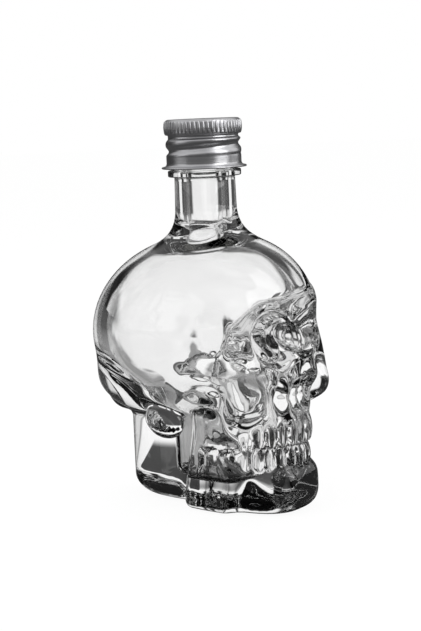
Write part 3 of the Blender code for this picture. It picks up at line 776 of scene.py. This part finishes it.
class SKULLBOTTLE_OT_knurls(bpy.types.Operator):
    """Set the upright ribs round the top of the cap"""
    bl_idname = "skullbottle.knurls"
    bl_label = "Knurls"

    def rib_tree(self):
        """Ribs on a circle: long drops of metal, upright, one for each point."""
        tree = bpy.data.node_groups.new("knurl_ribs", 'GeometryNodeTree')
        for name, kind in (("Ribs", 'NodeSocketInt'), ("Circle Radius", 'NodeSocketFloat'),
                           ("Middle Height", 'NodeSocketFloat'), ("Rib Size", 'NodeSocketVector'),
                           ("Metal", 'NodeSocketMaterial')):
            tree.interface.new_socket(name, in_out='INPUT', socket_type=kind)
        tree.interface.new_socket("Geometry", in_out='OUTPUT', socket_type='NodeSocketGeometry')
        given = add_node(tree, "NodeGroupInput")
        circle = add_node(tree, "GeometryNodeMeshCircle", {"Vertices": given.outputs["Ribs"],
                                                           "Radius": given.outputs["Circle Radius"]})
        height = add_node(tree, "ShaderNodeCombineXYZ", {"Z": given.outputs["Middle Height"]})
        raised = add_node(tree, "GeometryNodeSetPosition", {"Geometry": circle, "Offset": height})
        ball = add_node(tree, "GeometryNodeMeshUVSphere", {"Segments": 10, "Rings": 8, "Radius": 1.0})
        index = add_node(tree, "GeometryNodeInputIndex")
        share = add_node(tree, "ShaderNodeMath", {0: index, 1: given.outputs["Ribs"]}, operation='DIVIDE')
        turn = add_node(tree, "ShaderNodeMath", {0: share, 1: math.tau}, operation='MULTIPLY')
        facing = add_node(tree, "ShaderNodeCombineXYZ", {"Z": turn})
        ribs = add_node(tree, "GeometryNodeInstanceOnPoints", {
            "Points": raised, "Instance": ball, "Rotation": facing, "Scale": given.outputs["Rib Size"]})
        real = add_node(tree, "GeometryNodeRealizeInstances", {"Geometry": ribs})
        smooth = add_node(tree, "GeometryNodeSetShadeSmooth", {"Geometry": real})
        metal = add_node(tree, "GeometryNodeSetMaterial", {"Geometry": smooth,
                                                           "Material": given.outputs["Metal"]})
        add_node(tree, "NodeGroupOutput", {"Geometry": metal})
        return tree

    def execute(self, context):
        sizes = context.scene.skull_bottle_sizes
        look = material_once(rolled_aluminium, context.scene.skull_bottle_colours)
        tree = self.rib_tree()
        maker = bpy.data.objects.new("knurl_maker", bpy.data.meshes.new("knurl_maker"))
        context.collection.objects.link(maker)
        ribs = maker.modifiers.new("ribs", 'NODES')
        ribs.node_group = tree
        spacing = math.tau * sizes.band_radius / sizes.knurl_count
        half_depth, half_width = 0.34 * MM, 0.36 * spacing
        half_height = 0.5 * sizes.band_height - 0.25 * MM
        values = {"Ribs": sizes.knurl_count, "Circle Radius": sizes.band_radius - half_depth - 0.01 * MM,
                  "Middle Height": CAP_HIGH.z - 0.5 * sizes.band_height - 0.1 * MM,
                  "Rib Size": (half_depth, half_width, half_height), "Metal": look}
        for item in tree.interface.items_tree:
            if item.in_out == 'INPUT':
                ribs[item.identifier] = values[item.name]
        maker.update_tag()
        context.view_layer.update()
        mesh = bpy.data.meshes.new_from_object(maker.evaluated_get(context.evaluated_depsgraph_get()))
        bpy.data.objects.remove(maker)
        mesh.name = "cap_knurls"
        piece = bpy.data.objects.new("cap_knurls", mesh)
        context.collection.objects.link(piece)
        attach(piece, "cap")
        return {'FINISHED'}


class SKULLBOTTLE_OT_liner(bpy.types.Operator):
    """Give the liner its foam"""
    bl_idname = "skullbottle.liner"
    bl_label = "Liner"

    def execute(self, context):
        look = material_once(foamed_polyethylene, context.scene.skull_bottle_colours)
        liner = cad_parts["cap_liner"]
        liner.data.materials.clear()
        liner.data.materials.append(look)
        return {'FINISHED'}


# Studio

def add_lamp(name, place, target, size, power):
    """A soft lamp. It lights matt things; what glass and metal mirror comes from the surround alone."""
    lamp = bpy.data.lights.new(name, 'AREA')
    lamp.shape = 'RECTANGLE'
    lamp.size, lamp.size_y = size
    lamp.energy = power
    holder = bpy.data.objects.new(name, lamp)
    bpy.context.collection.objects.link(holder)
    holder.location = place
    holder.rotation_euler = (Vector(target) - Vector(place)).to_track_quat('-Z', 'Y').to_euler()
    holder.visible_glossy = False
    holder.visible_transmission = False


def light_boxes(tree, way, boxes):
    """Level of the brightest light box, of (bearing, half width, level), at the bearing of a vector."""
    soft_edge = 3.0
    bearing = add_node(tree, "ShaderNodeMath", {0: way.outputs["Y"], 1: way.outputs["X"]},
                       operation='ARCTAN2')
    brightest = 0.0
    for middle, half, level in boxes:
        off = add_node(tree, "ShaderNodeMath", {0: bearing, 1: math.radians(middle)}, operation='SUBTRACT')
        cosine = add_node(tree, "ShaderNodeMath", {0: off}, operation='COSINE')
        dark, bright = [math.cos(math.radians(half + soft)) for soft in (soft_edge, -soft_edge)]
        box = add_node(tree, "ShaderNodeMapRange", {"Value": cosine, "From Min": dark, "From Max": bright,
                                                    "To Max": level}, interpolation_type='SMOOTHSTEP')
        brightest = add_node(tree, "ShaderNodeMath", {0: box, 1: brightest}, operation='MAXIMUM')
    return brightest


class SKULLBOTTLE_OT_stage(bpy.types.Operator):
    """Set the floor, the lamps, the white surround with its dark gaps, and the camera"""
    bl_idname = "skullbottle.stage"
    bl_label = "Stage"

    # Upright light boxes: bearing round the neck and half width in degrees, and level. The glass shows
    # behind_glass above the horizon, behind_neck on the far floor and under_glass on the near floor
    behind_glass = ((129.0, 20.0, 1.0), (89.0, 9.0, 0.8), (183.0, 12.0, 0.9), (315.0, 18.0, 0.95))
    # behind_neck and under_glass are painted light, which the floor gives off where the glass looks through
    # to it
    behind_neck = ((127.0, 19.0, 1.0), (44.0, 22.0, 0.13), (210.0, 22.0, 0.13), (315.0, 18.0, 0.95))
    under_glass = ((129.0, 25.0, 1.0), (92.0, 9.0, 0.75), (190.0, 6.0, 0.8), (225.0, 12.0, 0.6),
                   (296.0, 42.0, 1.0), (12.0, 20.0, 0.85), (56.0, 14.0, 0.7))
    # Metal and the outer face of the glass mirror these
    before_metal = ((-35.0, 112.0, 0.25), (4.0, 20.0, 2.7), (-130.0, 20.0, 0.8), (55.0, 18.0, 1.0))
    # A painted shadow, dark on the floor round the foot, which only the glass sees. At this bearing it
    # reaches further out, by its stretch.
    # Lengths on the floor are metres from the neck's axis
    black_card = ((137.0, 17.0, 1.0),)
    card_reach = 0.015
    card_stretch = 0.045
    card_edge = 0.012
    # Between these, under_glass gives way to behind_neck
    far_reach = (0.20, 0.36)
    # Between these, the gaps between the boxes go from the first level to the second
    gap_reach = (0.10, 0.30)
    gap_levels = (0.3, 0.015)
    # How much of the floor's own shade is painted over with white
    white_share = 0.94

    def execute(self, context):
        self.floor(context)
        self.surround(context)
        for name, place, size, power in (
                ("left_soft_lamp", (-0.32, -0.52, 0.42), (0.30, 0.45), 1.7),
                ("right_soft_lamp", (0.62, -0.10, 0.34), (0.25, 0.45), 1.3),
                ("top_soft_lamp", (-0.05, 0.05, 0.75), (0.45, 0.45), 1.4)):
            add_lamp(name, place, (0.0, 0.0, 0.05), size, power)
        self.camera(context)
        return {'FINISHED'}

    def floor(self, context):
        """Pale paper: white to the camera, with part of its true shade kept, so the shadow shows.

        Through the glass it glows with painted light boxes, and a painted shadow round the foot.
        """
        floor_radius = 3.0
        bm = bmesh.new()
        bmesh.ops.create_circle(bm, cap_ends=True, radius=floor_radius, segments=96)
        mesh = bpy.data.meshes.new("paper_floor")
        bm.to_mesh(mesh)
        bm.free()
        paper = bpy.data.materials.new("matt_paper")
        paper.use_nodes = True
        tree = paper.node_tree
        tree.nodes.clear()
        place = add_node(tree, "ShaderNodeTexCoord").outputs["Object"]
        fibres_in_metre = 900.0
        fibre = add_node(tree, "ShaderNodeTexNoise", {"Vector": place, "Scale": fibres_in_metre})
        bump = add_node(tree, "ShaderNodeBump", {"Height": fibre, "Strength": 0.1, "Distance": 0.1 * MM})
        matt = add_node(tree, "ShaderNodeBsdfPrincipled", {
            "Base Color": linear(context.scene.skull_bottle_colours.paper), "Roughness": 0.9,
            "Specular IOR Level": 0.1, "Normal": bump})
        way = add_node(tree, "ShaderNodeSeparateXYZ", {"Vector": place})
        reach = add_node(tree, "ShaderNodeVectorMath", {0: place}, operation='LENGTH').outputs["Value"]
        far = add_node(tree, "ShaderNodeMapRange", {"Value": reach, "From Min": self.far_reach[0],
                                                    "From Max": self.far_reach[1]},
                       interpolation_type='SMOOTHSTEP')
        # Painted light: the floor's glow through the glass, bright in the light boxes and darker in the gaps
        # between them
        boxes = add_node(tree, "ShaderNodeMix", {
            "Factor": far, "A": light_boxes(tree, way, self.under_glass),
            "B": light_boxes(tree, way, self.behind_neck)})
        # Painted shadow: near the neck's axis the floor's glow through the glass is cut to black
        shadow_end = add_node(tree, "ShaderNodeMath", {
            0: light_boxes(tree, way, self.black_card), 1: self.card_stretch, 2: self.card_reach},
            operation='MULTIPLY_ADD')
        clear_end = add_node(tree, "ShaderNodeMath", {0: shadow_end, 1: self.card_edge}, operation='ADD')
        clear = add_node(tree, "ShaderNodeMapRange", {"Value": reach, "From Min": shadow_end,
                                                      "From Max": clear_end},
                         interpolation_type='SMOOTHSTEP')
        gaps = add_node(tree, "ShaderNodeMapRange", {
            "Value": reach, "From Min": self.gap_reach[0], "From Max": self.gap_reach[1],
            "To Min": self.gap_levels[0], "To Max": self.gap_levels[1]})
        pale = add_node(tree, "ShaderNodeMath", {0: boxes, 1: gaps}, operation='MAXIMUM')
        behind = add_node(tree, "ShaderNodeMath", {0: pale, 1: clear}, operation='MULTIPLY')
        ray = add_node(tree, "ShaderNodeLightPath").outputs
        through = add_node(tree, "ShaderNodeMath", {0: behind, 1: ray["Is Transmission Ray"]},
                           operation='MULTIPLY')
        level = add_node(tree, "ShaderNodeMath", {0: through, 1: ray["Is Camera Ray"]}, operation='MAXIMUM')
        white = add_node(tree, "ShaderNodeEmission", {"Color": WHITE, "Strength": level})
        sharp = add_node(tree, "ShaderNodeMath", {0: ray["Is Transmission Ray"], 1: ray["Is Glossy Ray"]},
                         operation='MAXIMUM')
        seen = add_node(tree, "ShaderNodeMath", {0: ray["Is Camera Ray"], 1: sharp}, operation='MAXIMUM')
        share = add_node(tree, "ShaderNodeMath", {0: seen, 1: self.white_share}, operation='MULTIPLY')
        mixed = add_node(tree, "ShaderNodeMixShader", {0: share, 1: matt, 2: white})
        add_node(tree, "ShaderNodeOutputMaterial", {"Surface": mixed})
        mesh.materials.append(paper)
        floor = bpy.data.objects.new("paper_floor", mesh)
        floor.location.z = -0.2 * MM
        context.collection.objects.link(floor)

    def surround(self, context):
        """White to the camera. Glass and metal see light boxes with dark gaps, which draw their edges."""
        fading = 0.14
        world = bpy.data.worlds.new("white_surround")
        world.use_nodes = True
        tree = world.node_tree
        tree.nodes.clear()
        place = add_node(tree, "ShaderNodeTexCoord").outputs["Generated"]
        way = add_node(tree, "ShaderNodeSeparateXYZ", {"Vector": place})
        height = way.outputs["Z"]
        ray = add_node(tree, "ShaderNodeLightPath").outputs
        seen = []
        # Boxes, the height of look at which they fade, the level of their gaps, and the ceiling's start, end
        # and level
        for boxes, fade, dim, roof, top in ((self.behind_glass, 0.2, 0.012, (0.9, 0.97), 0.5),
                                            (self.before_metal, 0.85, 0.03, (0.3, 0.6), 0.7)):
            level = light_boxes(tree, way, boxes)
            low = add_node(tree, "ShaderNodeMapRange", {"Value": height, "From Min": fade,
                                                        "From Max": fade + fading, "To Min": 1.0,
                                                        "To Max": 0.0}, interpolation_type='SMOOTHSTEP')
            upright = add_node(tree, "ShaderNodeMath", {0: level, 1: low}, operation='MULTIPLY')
            ceiling = add_node(tree, "ShaderNodeMapRange", {"Value": height, "From Min": roof[0],
                                                            "From Max": roof[1], "To Max": top},
                               interpolation_type='SMOOTHSTEP')
            either = add_node(tree, "ShaderNodeMath", {0: upright, 1: ceiling}, operation='MAXIMUM')
            shade = add_node(tree, "ShaderNodeMath", {0: either, 1: dim}, operation='MAXIMUM')
            seen.append(add_node(tree, "ShaderNodeBackground", {"Color": WHITE, "Strength": shade}))
        through, mirrored = seen
        white = add_node(tree, "ShaderNodeBackground", {"Color": WHITE, "Strength": 1.0})
        shader = white
        # A ray through slightly rough glass is both glossy and transmitted, so transmission comes after
        for kind, sight in (("Is Glossy Ray", mirrored), ("Is Transmission Ray", through),
                            ("Is Camera Ray", white)):
            shader = add_node(tree, "ShaderNodeMixShader", {0: ray[kind], 1: shader, 2: sight})
        add_node(tree, "ShaderNodeOutputWorld", {"Surface": shader})
        context.scene.world = world
        context.scene.view_settings.view_transform = 'Standard'

    def camera(self, context):
        """A short telephoto, level with the cap's top, turned and tilted as it was held."""
        away, height = 0.34, 0.093
        turn, dip, lean = math.radians(36.0), math.radians(8.2), math.radians(2.4)
        ahead = Vector((-math.sin(turn) * math.cos(dip), math.cos(turn) * math.cos(dip), -math.sin(dip)))
        level = Vector((math.cos(turn), math.sin(turn), 0.0))
        upright = level.cross(ahead)
        right = level * math.cos(lean) - upright * math.sin(lean)
        up = level * math.sin(lean) + upright * math.cos(lean)
        lens = bpy.data.cameras.new("photo_camera")
        lens.lens = 83.3
        lens.sensor_width = 36.0
        lens.clip_start = 0.01
        camera = bpy.data.objects.new("photo_camera", lens)
        context.collection.objects.link(camera)
        spin = Matrix((right, up, -ahead)).transposed().to_4x4()
        place = (away * math.sin(turn), -away * math.cos(turn), height)
        camera.matrix_world = Matrix.Translation(place) @ spin
        context.scene.camera = camera


class SKULLBOTTLE_PT_panel(bpy.types.Panel):
    """Lists the pieces and the stage"""
    bl_idname = "SKULLBOTTLE_PT_panel"
    bl_label = "Skull bottle"
    bl_space_type = 'VIEW_3D'
    bl_region_type = 'UI'
    bl_category = "Skull bottle"

    def draw(self, context):
        for operator in OPERATORS:
            self.layout.operator(operator.bl_idname)
        for group in (context.scene.skull_bottle_sizes, context.scene.skull_bottle_colours):
            column = self.layout.column()
            for name in group.__annotations__:
                column.prop(group, name)


OPERATORS = (SKULLBOTTLE_OT_glass, SKULLBOTTLE_OT_cap, SKULLBOTTLE_OT_knurls, SKULLBOTTLE_OT_liner,
             SKULLBOTTLE_OT_stage)
CLASSES = (SkullBottleSizes, SkullBottleColours) + OPERATORS + (SKULLBOTTLE_PT_panel,)


def register():
    for made in CLASSES:
        bpy.utils.register_class(made)
    bpy.types.Scene.skull_bottle_sizes = bpy.props.PointerProperty(type=SkullBottleSizes)
    bpy.types.Scene.skull_bottle_colours = bpy.props.PointerProperty(type=SkullBottleColours)


def unregister():
    del bpy.types.Scene.skull_bottle_colours
    del bpy.types.Scene.skull_bottle_sizes
    for made in reversed(CLASSES):
        bpy.utils.unregister_class(made)


def main():
    register()
    bpy.ops.skullbottle.glass()
    bpy.ops.skullbottle.cap()
    bpy.ops.skullbottle.knurls()
    bpy.ops.skullbottle.liner()
    bpy.ops.skullbottle.stage()


if __name__ == "__main__":
    main()
